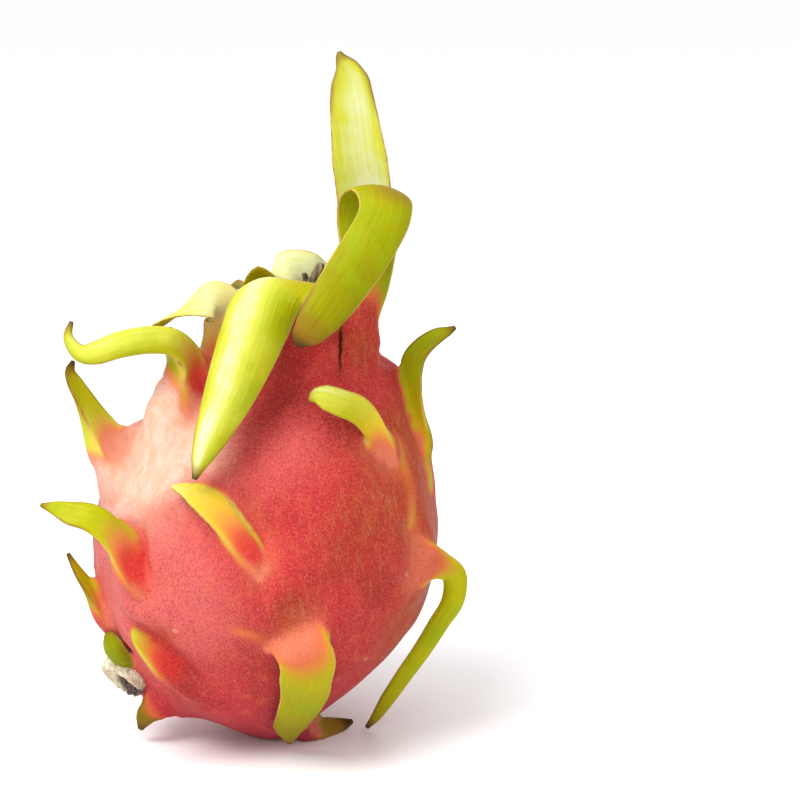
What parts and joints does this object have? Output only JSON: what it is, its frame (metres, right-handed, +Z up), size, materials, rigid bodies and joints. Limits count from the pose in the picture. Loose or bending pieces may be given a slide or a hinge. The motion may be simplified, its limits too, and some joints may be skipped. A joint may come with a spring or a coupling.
{
  "type": "dragon fruit",
  "caption": "Whole red dragon fruit resting on a small flat spot, leaning, with long green-tipped bracts curling off its skin, a stub of cut stem and a withered flower in the crown.",
  "frame": {"origin": "middle of the small flat spot of skin that the fruit rests on", "axes": "+Z up, +X to the right of the fruit's face, +Y away from it; the crown leans to +X and the stem end to -X"},
  "size_m": [0.1113, 0.1205, 0.1863],
  "materials": {
    "skin": "satin waxy skin, coral red, with bracts running from orange to yellow-green",
    "stem_wood": "dry and corky, with a dark cut end",
    "dry_flower": "papery, withered and matt"
  },
  "bodies": {
    "root": {"fruit": "skin", "stem_stub": "stem_wood", "dried_flower": "dry_flower"}
  },
  "joints": []
}
